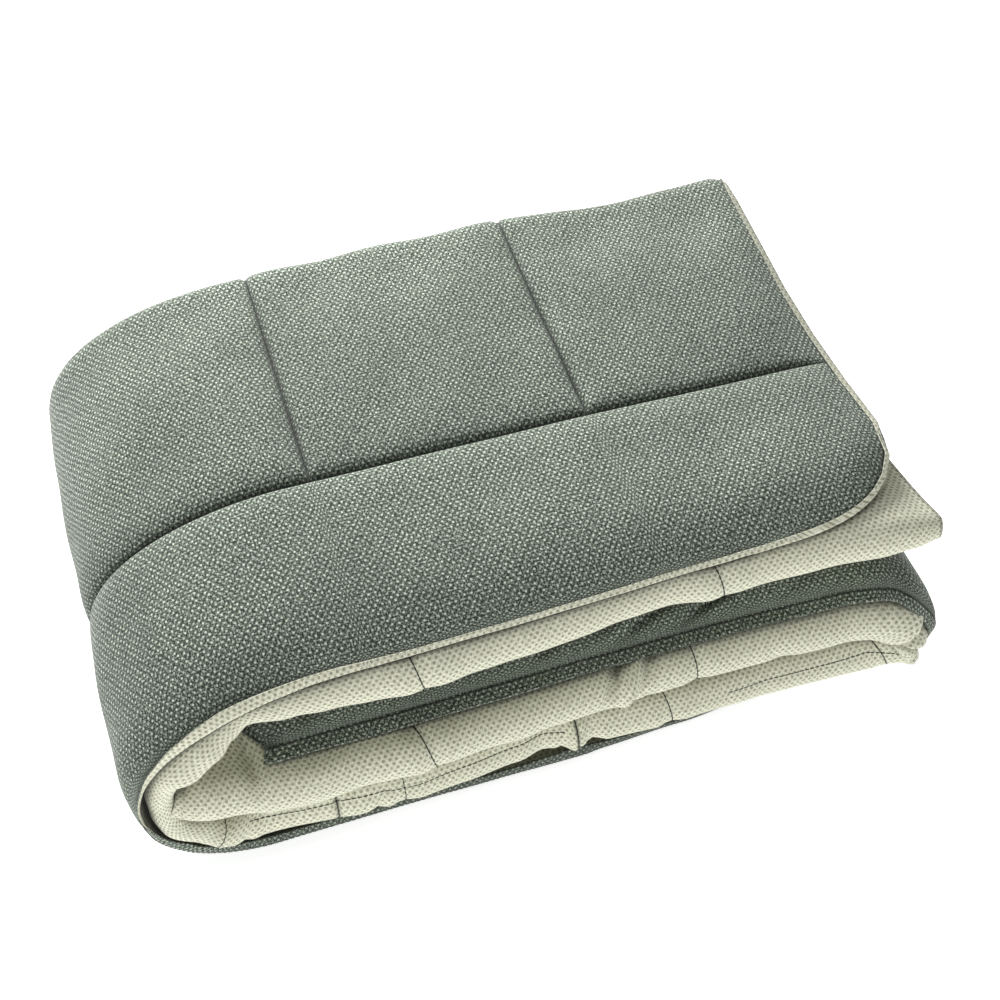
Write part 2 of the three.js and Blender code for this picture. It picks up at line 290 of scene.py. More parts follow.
SHARP_CREASE = 3  # a crease narrower than this gets rows of its own
ROW_STEPS = (5.2, 4.4, 4.4, 3.2, 3.7)  # on the top, left bend, bottom, right bend and middle
MIDDLE_MARKS = (1353.0, 1367.0, 1577.0)  # sharp creases of the middle run
HIDDEN_STEP = 45  # between the rows across the strip that lie inside the pack

# The hem from the padding to its edge: share of its width and half thickness in mm. It turns over
# within its first HEM_TURNED.
HEM_ROWS = ((0.0, 1.1), (0.1, 0.95), (0.22, 0.8), (0.4, 0.75), (0.7, 0.75), (0.93, 0.7), (1.0, 0.35))
HEM_TURNED = 0.34
HEM_STITCHES_S = 40  # its stitches begin this far from the free end
FACE, BACK = 0, 1  # the body's materials
BACK_SHIFT = 3.1  # how far the back's dots lie along from the face's specks, in mm

# Cloth finishes, with scales for each metre. The sway bends the rows of dots a little, in metres.
YARN_SCALE = 1300.0
YARN_STREAK = 0.16  # a streak of yarn is this much coarser along itself
GRAIN_SCALE = 900.0
SWAY_SCALE = 34.0
SWAY_ALONG = 0.0012
SWAY_ACROSS = -0.001
SHEEN = 0.12
SEAM_SHADOW = (40, 44, 38)  # as seen on a screen
SEAM_SHADOW_SHARE = 0.85
FLOOR_GLOW = 0.85

# The stage, in metres. Lights: name, place, aim, width and power in watts.
FLOOR_HALF = 30.0
FLOOR_GAP = 0.0005
SKY_STRENGTH = 0.23
LIGHTS = (
    ("high_light", (-0.2, 0.3, 1.7), (0, 0, 0.1), 1.4, 6),
    ("back_light", (-0.2, 1.3, 0.85), (0, 0.1, 0.15), 0.9, 47),
    ("near_light", (-0.6, -1.95, 0.3), (0, 0, 0.1), 1.1, 16),
)
CAMERA_PLACE = (-0.21299, -0.69837, 0.96906)
CAMERA_TURN = -18.033  # degrees to the left of the near side's middle
CAMERA_RISE = 50.0
CAMERA_LENS = 57.6  # mm
CAMERA_SENSOR = 36.0


def smooth(low, high, value):
    """From 0 at low to 1 at high, with an even start and end."""
    t = np.clip((np.asarray(value, float) - low) / (high - low), 0.0, 1.0)
    return t * t * (3 - 2 * t)


def near_side(s):
    """The row of NEAR_SIDE at a length along the strip, with an even change between its rows."""
    k = 0
    while k + 2 < len(NEAR_SIDE) and s > NEAR_SIDE[k + 1][0]:
        k += 1
    low, high = NEAR_SIDE[k], NEAR_SIDE[k + 1]
    t = float(smooth(low[0], high[0], s))
    return {name: a + (b - a) * t for name, a, b in zip(NEAR_COLUMNS, low, high)}


def creases(rows, s, w):
    """The height that a table of creases adds to the cloth."""
    total = np.zeros_like(w)
    for at_s, at_w, deep, wide, long, lean in rows:
        if abs(s - at_s) < 4 * wide + 60:
            run = w - at_w
            total += deep * hump(s - at_s - lean * run, wide) * np.exp(-((run / long) ** 4))
    return total


def shoulder(distance, reach):
    """From 0 at a seam to 1 at the full height of the padding, steep at the seam."""
    t = np.clip(np.asarray(distance, float) / reach, 0.0, 1.0)
    return np.sqrt(1 - (1 - t) ** 2)


def hump(distance, reach):
    """A soft bell, 1 at no distance."""
    return np.exp(-((np.asarray(distance, float) / reach) ** 2))


def unit(vectors):
    """The same directions, each 1 long."""
    return vectors / np.linalg.norm(vectors, axis=-1)[..., None]


def ripple(x, y, size, seed):
    """A smooth uneven pattern of about -1 to 1, the same at each run."""
    spin = np.random.RandomState(seed)
    total = np.zeros(np.broadcast(x, y).shape)
    for _ in range(7):
        angle, phase = spin.uniform(0, 2 * math.pi, 2)
        wave = size * spin.uniform(0.7, 1.6)
        along = x * math.cos(angle) + y * math.sin(angle)
        total = total + np.sin(2 * math.pi * along / wave + phase)
    return total / 3.2


def spread(start, stop, step, marks=(), near=7.0, fine=1.6):
    """Values from start to stop, about `step` apart, and closer round each mark."""
    low, high = min(start, stop), max(start, stop)
    inside = sorted(m for m in marks if low + 1 < m < high - 1)
    places = {low, high}
    edges = [low]
    for m in inside:
        a, b = max(low, m - near), min(high, m + near)
        if a > edges[-1] + step:
            places.update(np.linspace(edges[-1], a, max(2, round((a - edges[-1]) / step) + 1)))
        half = max(1, round((m - a) / fine))
        places.update(m - (m - a) * (k / half) ** 1.3 for k in range(half + 1))
        half = max(1, round((b - m) / fine))
        places.update(m + (b - m) * (k / half) ** 1.3 for k in range(half + 1))
        edges.append(b)
    if high > edges[-1] + 1e-6:
        places.update(np.linspace(edges[-1], high, max(2, round((high - edges[-1]) / step) + 1)))
    rows = []
    for value in sorted(places):
        if not rows or value - rows[-1] > 0.55:
            rows.append(float(value))
    rows[-1] = high
    return rows if start < stop else rows[::-1]


def part_at(s):
    """The stretch of the path, and where on it, for a length along the strip."""
    if s <= LEFT_START:
        return "top", TOP_END_X - s
    if s <= BOTTOM_START:
        return "left", (s - LEFT_START) / LEFT_LENGTH
    if s <= RIGHT_START:
        return "bottom", BOTTOM_LEFT_X + s - BOTTOM_START
    if s <= MIDDLE_START:
        return "right", (s - RIGHT_START) / RIGHT_LENGTH
    return "middle", RIGHT_X - (s - MIDDLE_START)


def top_end(layer, y):
    """Where the free end stops, for a layer and a place across the pack."""
    into = np.clip((CORNER_Y - y) / (CORNER_Y - HEM_Y - near_side(0)["hem"]), 0, 1)
    across = (1 - into**CORNER_POWER) ** (1 / CORNER_POWER)
    first = np.interp(y, FREE_END_Y, FREE_END_X)
    rounded = first - CORNER_LONG * (1 - across)
    under = np.interp(y, UNDER_END_Y, UNDER_END_X)
    far = np.interp(FAR_FOLD_Y, FREE_END_Y, FREE_END_X)
    level = under - (under - far) * np.maximum(0, layer) ** 2
    return np.where(layer > CORNER_LAYER, rounded, level)


def middle_end(layer, y):
    """Where the inner end stops, for a layer and a place across the pack."""
    hollow = np.where(layer >= 0, *INNER_HOLLOWS)
    step = np.where(layer < 0, INNER_LAYER_3_STEP, 0)
    level = INNER_END_X - hollow * (1 - layer**2) - step
    slant = INNER_END_X - INNER_SLANT * smooth(*INNER_SLANT_Y, y)
    reach = np.where(layer > 0.3, slant, INNER_FOLD_END_X + 10 * layer)
    return level + (reach - level) * smooth(*INNER_REACH_Y, y)


def path(s, layer, y, pitch):
    """X and Z of the middle of the strip, and the step to the next layer out."""
    part, at = part_at(s)
    flat = np.zeros_like(layer)
    if part == "top":
        end = top_end(layer, y)
        bend = np.minimum(CORNER_DRAW_X, end - CORNER_DRAW_LEAST)
        share = (at - bend) / (TOP_END_X - bend)
        x = np.where(at <= bend, at, bend + share * (end - bend))
        return x, TOP_Z + flat, 0.0, pitch
    if part == "left":
        turn = math.pi * at
        start = TOP_LEFT_X if at < 0.5 else BOTTOM_LEFT_X
        x = start - (start - LEFT_REACH_X) * math.sin(turn)
        z = (TOP_Z + BOTTOM_Z) / 2 + (TOP_Z - BOTTOM_Z) / 2 * math.cos(turn)
        outward = -pitch * LEFT_PITCH_SHARE * math.sin(turn)
        return x + flat, z + flat, outward, pitch * math.cos(turn)
    if part == "bottom":
        return at + flat, BOTTOM_Z + flat, 0.0, -pitch
    if part == "right":
        turn = math.pi * at
        x = RIGHT_X + RIGHT_REACH * math.sin(turn)
        z = (MIDDLE_Z + BOTTOM_Z) / 2 - (MIDDLE_Z - BOTTOM_Z) / 2 * math.cos(turn)
        return x + flat, z + flat, pitch * math.sin(turn), -pitch * math.cos(turn)
    bend = INNER_DRAW_X
    end = middle_end(layer, y)
    share = (at - bend) / (MIDDLE_END_X - bend)
    x = at + flat if at >= bend else bend + share * (end - bend)
    return x, MIDDLE_Z + flat, 0.0, pitch


def across_profile(w):
    """Layer and Y of the middle of the strip, for lengths across it."""
    far = np.clip((w - FAR_FOLD_W) / FOLD_LENGTH, 0, 1) * math.pi
    near = np.clip((w - NEAR_FOLD_W) / FOLD_LENGTH, 0, 1) * math.pi
    stretches = [w <= FAR_FOLD_W, w <= LAYER_2_W, w <= NEAR_FOLD_W, w <= LAYER_3_W]
    flat = np.zeros_like(w)
    layer = np.select(
        stretches, [flat + 1.0, 0.5 + 0.5 * np.cos(far), flat, -0.5 + 0.5 * np.cos(near)], -1.0
    )
    y = np.select(
        stretches,
        [
            HEM_Y + w,
            FAR_FOLD_Y + FOLD_RADIUS * np.sin(far),
            FAR_FOLD_Y - (w - LAYER_2_W),
            NEAR_FOLD_Y - FOLD_RADIUS * np.sin(near),
        ],
        NEAR_FOLD_Y + (w - LAYER_3_W),
    )
    return layer, y


def seam_place(seam, w):
    """Length along the strip at which a cross seam lies, for lengths across it."""
    far, near, lean = seam
    near = near + lean * np.clip(w - SEAM_LEAN_W, -SEAM_LEAN_REACH, SEAM_LEAN_REACH)
    return far + (near - far) * smooth(LAYER_2_W, NEAR_FOLD_W - 40, w)


def padding(s, w, near, sizes):
    """Half of the thickness, with its seams, at one length along the strip."""
    full, sewn = sizes.full_half * 1000, sizes.seam_half * 1000
    far_fold = (w > FAR_FOLD_W - 12) & (w < LAYER_2_W + 12)
    half = np.where(far_fold, FAR_FOLD_HALF, full)
    half -= 1.2 * hump(w - NEAR_FOLD_MIDDLE_W, 60)
    # Cross seams are shallow where the folds stretch the cloth, and sharpest on the open face.
    shallow = 1 - 0.8 * hump(w - (FAR_FOLD_W + 12), 55)
    shallow = shallow - 0.6 * smooth(NEAR_FOLD_W - 60, NEAR_FOLD_W - 15, w)
    groove = np.zeros_like(w)
    depth, wide = CROSS_SEAM_CUT
    for seam in CROSS_SEAMS:
        away = np.abs(s - seam_place(seam, w))
        slope = (1 - shoulder(away, CROSS_SEAM_SLOPE)) * shallow
        cut = slope + depth * hump(away, wide) * (w < LAYER_2_W)
        groove = np.maximum(groove, np.where(w > LONG_SEAM_W, cut, 0))
    depth, wide = LONG_SEAM_CUT
    for seam_w in (LONG_SEAM_W, LAYER_2_SEAM_W, LAYER_3_SEAM_W):
        away = np.abs(w - seam_w)
        cut = 1 - shoulder(away, LONG_SEAM_SLOPE) + depth * hump(away, wide)
        groove = np.maximum(groove, cut)
    half = half - (full - sewn) * groove
    edge = shoulder(w, near["taper"]) ** 1.5 * shoulder(STRIP_WIDTH - w, INNER_HEM_SLOPE)
    sharp = 1.4 - 0.9 * hump(w - FAR_FOLD_W, 45)
    ends = shoulder(max(0, s - 4), FREE_END_SLOPE) ** sharp
    ends = ends * shoulder(STRIP_LENGTH - s, INNER_END_SLOPE) ** 1.3
    return HEM_HALF + (half - HEM_HALF) * edge * ends


def under_share(s):
    """How far a place along the strip lies on the pack's shaded bottom, from 0 to 1."""
    return float(smooth(590, 640, s) * (1 - smooth(1010, 1050, s)))


def hem_shade(s, w, i, j):
    """How much painted shade the hem's cloth gets: in the shade along the bottom, and at the free end,
    where it dims the brightly lit hem.
    """
    if j == 0:
        return 0.4 * under_share(s)
    return 0.5 * float(smooth(40, 160, w)) if i == 0 else 0.0


def painted_shade(s, w):
    """How much painted shade the cloth gets: 1 in a seam's own shadow, 0 beside it, and a share beside
    the near hem along the pack's shaded bottom, where it also stands in for the dark hem cloth turned
    in there.
    """
    lines = np.maximum(hump(w - LONG_SEAM_W, SEAM_LINE), hump(w - LAYER_2_SEAM_W, SEAM_LINE))
    face = (w >= LONG_SEAM_W) & (w < LAYER_2_W)
    for seam in CROSS_SEAMS:
        line = hump(s - seam_place(seam, w), SEAM_LINE)
        lines = np.maximum(lines, np.where(face, line, 0))
    for at, low, high in SHORT_SEAMS:
        line = hump(s - at, SEAM_LINE)
        lines = np.maximum(lines, np.where((w > low) & (w < high), line, 0))
    return np.maximum(lines, 0.75 * under_share(s) * (1 - smooth(8, 24, w)))


def place(s, x_layer, x_y, layer, y, pitch):
    """Points of the strip. The path is taken at x_layer and x_y, each point lies at layer and y."""
    x, z, step_x, step_z = path(s, x_layer, x_y, pitch)
    x = x + layer * step_x
    z = z + layer * step_z
    lift = LIFT * smooth(*LIFT_X, x) * smooth(*LIFT_Y, y) if s <= LEFT_START else 0.0
    return np.stack([x, y, z * (1 + RISE * y) + lift], -1)


def section(s, w, sizes):
    """The outside and inside points of the body at one length along the strip."""
    pitch = sizes.layer_pitch * 1000
    near = near_side(s)
    layer, y = across_profile(w)
    plain_layer = layer
    first = w < NEAR_PART_W
    from_hem = np.minimum(w, NEAR_PART_W)
    inner = layer < 0.01

    # The long seam wanders, the hem moves and sinks, and the near fold moves and swells.
    near_share = smooth(-40, -125, y)
    hem_share = hump(from_hem, 34)
    roll = 1 + (near["roll"] - 1) * near_share
    beyond = np.minimum(0, y - NEAR_FOLD_Y) * (roll - 1)
    y = y + SEAM_SHIFT * smooth(60, 200, s) * hump(w - LONG_SEAM_W, 60)
    y = np.where(first, y + near["hem"] * hem_share, y)
    layer = np.where(first, layer - near["drop"] / pitch * hem_share, layer)
    push = near["push"] * smooth(-92, -138, y)
    y = np.where(inner, y + beyond + near["fold"] * near_share, y)
    layer = np.where(inner, layer * roll + push, layer)

    # The padding to both sides of the middle, with its waves and creases.
    wave = WAVE * ripple(s + 0 * w, w, WAVE_LONG, 3)
    half = padding(s, w, near, sizes) * np.where(inner, roll, 1.0)
    out_half = half + np.where(w < LAYER_2_W, wave * shoulder(np.abs(w - LONG_SEAM_W), 40), 0)
    in_half = half + np.where(near_share > 0.3, wave * 0.6, 0)
    in_half = in_half * np.where(first, 1 - 0.75 * hump(from_hem, 30), 1.0)
    out_half = np.maximum(out_half + outside_forms(s, w), LEAST_HALF)
    in_half = np.maximum(in_half + inside_forms(s, w), LEAST_HALF)
    dy = np.gradient(y, w)
    dl = np.gradient(layer, w) * pitch
    length = np.hypot(dy, dl)
    side_y = -dl / length
    side_layer = dy / length / pitch

    lean = near["out"] * np.where(inner, smooth(-100, -142, y), 0)
    droop = hump(s - CORNER_DROOP_S, 32) * np.where(first, smooth(150, 20, from_hem), 0)
    rise = END_RISE * hump(s, 18) * smooth(200, 300, w) * (w < LAYER_2_W)
    made = []
    for out in (out_half, -in_half):
        points = place(s, plain_layer, y, layer + side_layer * out, y + side_y * out, pitch)
        points[:, 0] += lean - CORNER_DROOP_IN * droop
        points[:, 2] += rise - CORNER_DROOP * droop
        made.append(points)
    return made


def outside_forms(s, w):
    """Small rises and falls of the dark face."""
    far = smooth(230, 320, w) * (w < LAYER_2_W)
    crown = CROWN * hump(w - (LONG_SEAM_W + FAR_FOLD_W) / 2 - 10, 90) * (w < LAYER_2_W)
    level = np.interp(s, FAR_LEVEL_S, FAR_LEVEL)
    return crown + level * far + creases(FACE_CREASES, s, w)


def inside_forms(s, w):
    """Small rises and falls of the pale back along the near folds."""
    forms = creases(BACK_CREASES, s, w)
    if FOLD_SEAM_S[0] < s < FOLD_SEAM_S[-1]:
        depth, wide = FOLD_SEAM_CUT
        ends = smooth(FOLD_SEAM_S[0], FOLD_SEAM_S[0] + 20, s)
        forms = forms - depth * ends * hump(w - np.interp(s, FOLD_SEAM_S, FOLD_SEAM_W), wide)
    # Each cross seam puffs the cloth beside it and pulls a short crease at its upper end.
    for seam in CROSS_SEAMS:
        away = s - seam_place(seam, w)
        for side in (-1, 1):
            puff, pull = (
                high * hump(away - side * at_s, wide) * hump(w - at_w - side * shift, long)
                for high, at_s, wide, at_w, shift, long in (PUFF, PULL)
            )
            forms = forms + puff - pull
    return forms


def along_stations():
    """Lengths along the strip that get a row of points, closer at the seams and sharp creases."""
    marks = [m for seam in CROSS_SEAMS for m in seam[:2] if seam[0] < MIDDLE_START or m < seam[0]]
    folds = [row[0] for row in BACK_CREASES if row[3] < SHARP_CREASE]
    starts = (0, LEFT_START, BOTTOM_START, RIGHT_START, MIDDLE_START, STRIP_LENGTH)
    extra = ([], folds, folds, [], MIDDLE_MARKS)
    rows = [0.0]
    for start, stop, step, more in zip(starts, starts[1:], ROW_STEPS, extra):
        rows += spread(start, stop, step, marks + list(more))[1:]
    return rows


def across_stations():
    """Lengths across the strip with, for each, whether the outside and the inside have a row there.

    Each side has close rows only where it shows, and wide ones in the pack.
    """
    hem = [0, 0.4, 1.2, 2.6, 4.6, 7.2, 10.4, 14.2, 18.6]
    end = [STRIP_WIDTH - 16, STRIP_WIDTH - 8, STRIP_WIDTH - 3, STRIP_WIDTH]
    outside = hem + [23.6]
    outside += spread(29, LONG_SEAM_W + 30, 6.0, [LONG_SEAM_W])
    outside += spread(LONG_SEAM_W + 30, FAR_FOLD_W, 7.5)[1:]
    outside += list(np.linspace(FAR_FOLD_W, LAYER_2_W, 10))[1:]
    outside += [LAYER_2_W + 6, LAYER_2_W + 14]
    outside += spread(LAYER_2_W + 30, NEAR_FOLD_W - 14, HIDDEN_STEP)
    outside += list(np.linspace(NEAR_FOLD_W, LAYER_3_W, 5))
    outside += spread(LAYER_3_W + 14, STRIP_WIDTH - 30, HIDDEN_STEP) + end
    inside = hem + [29, 45]
    inside += spread(75, FAR_FOLD_W - 20, HIDDEN_STEP)
    inside += list(np.linspace(FAR_FOLD_W, LAYER_2_W, 5))
    inside += spread(LAYER_2_W + 25, NEAR_FOLD_W - 60, HIDDEN_STEP)
    inside += spread(NEAR_FOLD_W - 48, NEAR_FOLD_W, 3.8)
    inside += list(np.linspace(NEAR_FOLD_W, LAYER_3_W, 22))[1:]
    inside += spread(LAYER_3_W, LAYER_3_W + 40, 3.8)[1:]
    inside += spread(LAYER_3_W + 60, STRIP_WIDTH - 30, HIDDEN_STEP) + end
    outside, inside = set(np.round(outside, 3)), set(np.round(inside, 3))
    both = sorted(outside | inside)
    return np.array(both), [w in outside for w in both], [w in inside for w in both]


class Body:
    """The body's points over a grid of lengths along and across, with its faces."""

    def __init__(self, sizes):
        self.s = np.array(along_stations())
        self.w, out_rows, in_rows = across_stations()
        made = [section(s, self.w, sizes) for s in self.s]
        self.outside = np.array([m[0] for m in made])
        self.inside = np.array([m[1] for m in made])
        self.out_columns = list(np.flatnonzero(out_rows))
        self.in_columns = list(np.flatnonzero(in_rows))
        # Painted shade at each point: seam shadows, and shade beside the hem along the bottom.
        self.sewn = np.array([painted_shade(s, self.w) for s in self.s])
        self.points, self.lengths, self.lines, self.faces, self.finish = [], [], [], [], []
        self.measure()
        self.build()

    def measure(self):
        """Lengths on the cloth itself, in mm, so that its weave isn't stretched.

        They are measured along one line of the face and one of the back, and across one row of
        each. The two ends are drawn out unevenly, so there they are measured along every line.
        """
        def run(points):
            steps = np.linalg.norm(np.diff(points, axis=0), axis=1)
            return np.concatenate([[0.0], np.cumsum(steps)])

        face_line, back_line = np.searchsorted(self.w, (LONG_SEAM_W + 90, NEAR_FOLD_MIDDLE_W))
        top_row, middle_row = np.searchsorted(self.s, (80, 1400))
        outer, inner = run(self.outside[:, face_line]), run(self.inside[:, back_line])
        share = smooth(LAYER_2_W, NEAR_FOLD_W - 50, self.w)[None, :]
        self.along = outer[:, None] * (1 - share) + (inner[:, None] + BACK_SHIFT) * share
        middle = (self.outside + self.inside) / 2
        step = np.linalg.norm(np.diff(middle, axis=0), axis=2)
        free, last = np.searchsorted(self.s, (TOP_END_X - 30, STRIP_LENGTH - 64))
        for i in range(free - 1, -1, -1):
            self.along[i] = self.along[i + 1] - step[i]
        for i in range(last + 1, len(self.s)):
            self.along[i] = self.along[i - 1] + step[i - 1]
        self.out_across = run(self.outside[top_row])
        self.in_across = run(self.inside[middle_row])

    def face(self, corners, flip, finish):
        self.faces.append(corners[::-1] if flip else corners)
        self.finish.append(finish)

    def grid(self, points, columns, across, flip, finish):
        """One side's points and faces. Gives the number of its first point."""
        start, count = len(self.points), len(columns)
        for i in range(len(self.s)):
            for j in columns:
                self.points.append(points[i, j])
                self.lengths.append((self.along[i, j], across[j]))
                self.lines.append(self.sewn[i, j])
        for i in range(len(self.s) - 1):
            for j in range(count - 1):
                a = start + i * count + j
                self.face((a, a + 1, a + count + 1, a + count), flip, finish)
        return start

    def border(self, columns):
        """Grid places round the edge of the quilt: near hem, inner end, inner hem, free end."""
        last_i, last_j = len(self.s) - 1, len(self.w) - 1
        loop = [(i, 0) for i in range(last_i + 1)]
        loop += [(last_i, j) for j in columns[1:-1]]
        loop += [(i, last_j) for i in range(last_i, -1, -1)]
        loop += [(0, j) for j in columns[::-1][1:-1]]
        return loop

    def build(self):
        sides = (
            (self.outside, self.out_columns, self.out_across, False, FACE),
            (self.inside, self.in_columns, self.in_across, True, BACK),
        )
        starts = [self.grid(*side) for side in sides]
        self.hem_loop = self.border(range(len(self.w)))
        self.hem_rows = self.hem_sections(self.hem_loop)
        edges = [self.hem(start, sign, *side[1:]) for start, sign, side in zip(starts, (1, -1), sides)]
        self.join(*edges[0], *edges[1], len(self.hem_loop))

    def hem_sections(self, every):
        """Rows of the hem from the padding to its edge: middle points, directions and half widths."""
        i, j = np.array(every).T
        out, back = self.outside[i, j], self.inside[i, j]
        hinge, up = (out + back) / 2, unit(out - back)
        ahead = unit(np.roll(hinge, -1, axis=0) - np.roll(hinge, 1, axis=0))
        away = unit(np.cross(up, ahead))
        away *= np.where((away * self.inward(every)).sum(1) > 0, -1.0, 1.0)[:, None]
        for _ in range(4):
            away = away + (np.roll(away, 1, axis=0) + np.roll(away, -1, axis=0)) / 2
            away = unit(away - (away * up).sum(1)[:, None] * up)
        turn, wide = self.hem_shape(every)

        def turned(share):
            return (turn * float(smooth(0, HEM_TURNED, share)))[:, None]

        middle, before = hinge, 0.0
        rows = []
        for share, half in HEM_ROWS:
            if rows:
                bend = turned((share + before) / 2)
                step = (wide * (share - before))[:, None]
                middle = middle + step * (np.cos(bend) * away + np.sin(bend) * up)
            bend = turned(share)
            rows.append((middle, -np.sin(bend) * away + np.cos(bend) * up, half))
            before = share
        return rows

    def hem(self, start, sign, columns, across, flip, finish):
        """One side's cloth of the hem. Gives its edge, and where on the border each point lies."""
        loop = self.border(columns)
        index = {place: k for k, place in enumerate(self.hem_loop)}
        column = {j: k for k, j in enumerate(columns)}
        before = [start + i * len(columns) + column[j] for i, j in loop]
        reach = np.zeros(len(loop))
        for middle, normal, half in self.hem_rows[1:]:
            ring = []
            for a, (i, j) in enumerate(loop):
                at = index[(i, j)]
                ring.append(len(self.points))
                self.points.append(middle[at] + sign * half * normal[at])
                self.lines.append(hem_shade(self.s[i], self.w[j], i, j))
                reach[a] += np.linalg.norm(self.points[-1] - self.points[before[a]])
                along, over = self.along[i, j], across[j]
                if j in (0, len(self.w) - 1):
                    over += reach[a] if j else -reach[a]
                else:
                    along += reach[a] if i else -reach[a]
                self.lengths.append((along, over))
            for a in range(len(loop)):
                b = (a + 1) % len(loop)
                self.face((before[a], before[b], ring[b], ring[a]), flip, finish)
            before = ring
        return before, [index[place] for place in loop]

    def inward(self, every):
        """At each place of the border, a direction that points into the quilt."""
        last_i, last_j = len(self.s) - 1, len(self.w) - 1
        rows = []
        for i, j in every:
            a = i if j in (0, last_j) else min(max(i, 2), last_i - 2)
            b = min(max(j, 4), last_j - 3)
            rows.append(self.outside[a, b] + self.inside[a, b] - self.outside[i, j] - self.inside[i, j])
        return np.array(rows)

    def hem_shape(self, every):
        """How far the hem is turned, in radians, and how wide it is, at each place of the border."""
        turn, wide = [], []
        last_i = len(self.s) - 1
        for i, j in every:
            s, w = self.s[i], self.w[j]
            near = near_side(s)
            if j == 0:
                degrees, width = near["turn"], near["wide"]
            elif i == 0:
                first = float(smooth(LAYER_2_W, FAR_FOLD_W - 6, w))
                flat = float(smooth(20, 110, w))
                far = float(smooth(FAR_FOLD_W - 16, FAR_FOLD_W + 10, w))
                degrees = 4 + (near["turn"] + 28 * flat - 4) * first
                width = 4.6 + 1.2 * flat - 3.2 * far
            elif i == last_i:
                degrees, width = 8.0, 2.5 + 3.5 * float(smooth(40, 140, w))
            else:
                degrees, width = 6.0, 5.0
            degrees += 6 * float(ripple(np.array(s), np.array(w), 60, 11))
            turn.append(math.radians(degrees))
            wide.append(width)
        return np.array(turn), np.array(wide)

    def join(self, out_edge, out_at, in_edge, in_at, total):
        """Closes the free edge of the hem between its two cloths, which differ in their points."""
        out_at, in_at = out_at + [total], in_at + [total]
        a = b = 0
        while a < len(out_edge) or b < len(in_edge):
            pa, pb = out_edge[a % len(out_edge)], in_edge[b % len(in_edge)]
            next_a = out_at[min(a + 1, len(out_edge))]
            next_b = in_at[min(b + 1, len(in_edge))]
            if a < len(out_edge) and (next_a <= next_b or b >= len(in_edge)):
                a += 1
                corners = (pa, out_edge[a % len(out_edge)], pb)
            else:
                b += 1
                corners = (pa, in_edge[b % len(in_edge)], pb)
            self.face(corners, False, FACE)


def make_mesh(name, points, faces, finishes=None, lengths=None, lines=None):
    """A smooth mesh. A body also has its materials, its lengths on the cloth and its painted shade, for
    seam shadows and the shaded bottom.
    """
    mesh = bpy.data.meshes.new(name)
    mesh.from_pydata([tuple(p) for p in points], [], faces)
    if finishes is not None:
        mesh.polygons.foreach_set("material_index", finishes)
        corner = np.zeros(len(mesh.loops), np.int64)
        mesh.loops.foreach_get("vertex_index", corner)
        layer = mesh.uv_layers.new(name="cloth")
        layer.data.foreach_set("uv", lengths[corner].ravel())
        mesh.attributes.new("painted_shade", "FLOAT", "POINT").data.foreach_set("value", lines)
    mesh.polygons.foreach_set("use_smooth", np.ones(len(mesh.polygons), bool))
    mesh.update()
    obj = bpy.data.objects.new(name, mesh)
    bpy.context.scene.collection.objects.link(obj)
    return obj


def packed(points, floor=0.0):
    """Points of the strip in metres, in the pack's place."""
    points = (np.array(points) + MOVE) / 1000
    points[:, 2] -= floor
    return points


def body_mesh(sizes):
    body = Body(sizes)
    points = packed(body.points, packed(body.points)[:, 2].min())
    lengths = np.array(body.lengths) / 1000
    return make_mesh("quilt_body", points, body.faces, body.finish, lengths, body.lines)


class Surface:
    """Reads points and outward directions off one side of the body."""

    def __init__(self, body, points, other):
        self.s, self.w, self.points = body.s, body.w, points
        self.normals = unit(points - other)

    def at(self, s, w):
        i = np.clip(np.searchsorted(self.s, s) - 1, 0, len(self.s) - 2)
        j = np.clip(np.searchsorted(self.w, w) - 1, 0, len(self.w) - 2)
        a = ((s - self.s[i]) / (self.s[i + 1] - self.s[i]))[:, None]
        b = ((w - self.w[j]) / (self.w[j + 1] - self.w[j]))[:, None]

        def mix(values):
            low = values[i, j] * (1 - a) + values[i + 1, j] * a
            high = values[i, j + 1] * (1 - a) + values[i + 1, j + 1] * a
            return low * (1 - b) + high * b

        return mix(self.points), unit(mix(self.normals))


def resample(points, normals, step):
    """Places about `step` apart along a line of points."""
    lengths = np.concatenate([[0], np.cumsum(np.linalg.norm(np.diff(points, axis=0), axis=1))])
    count = max(2, int(lengths[-1] / step) + 1)
    at = np.linspace(0, lengths[-1], count)
    spots = np.stack([np.interp(at, lengths, points[:, k]) for k in range(3)], -1)
    ways = np.stack([np.interp(at, lengths, normals[:, k]) for k in range(3)], -1)
    return spots, unit(ways)


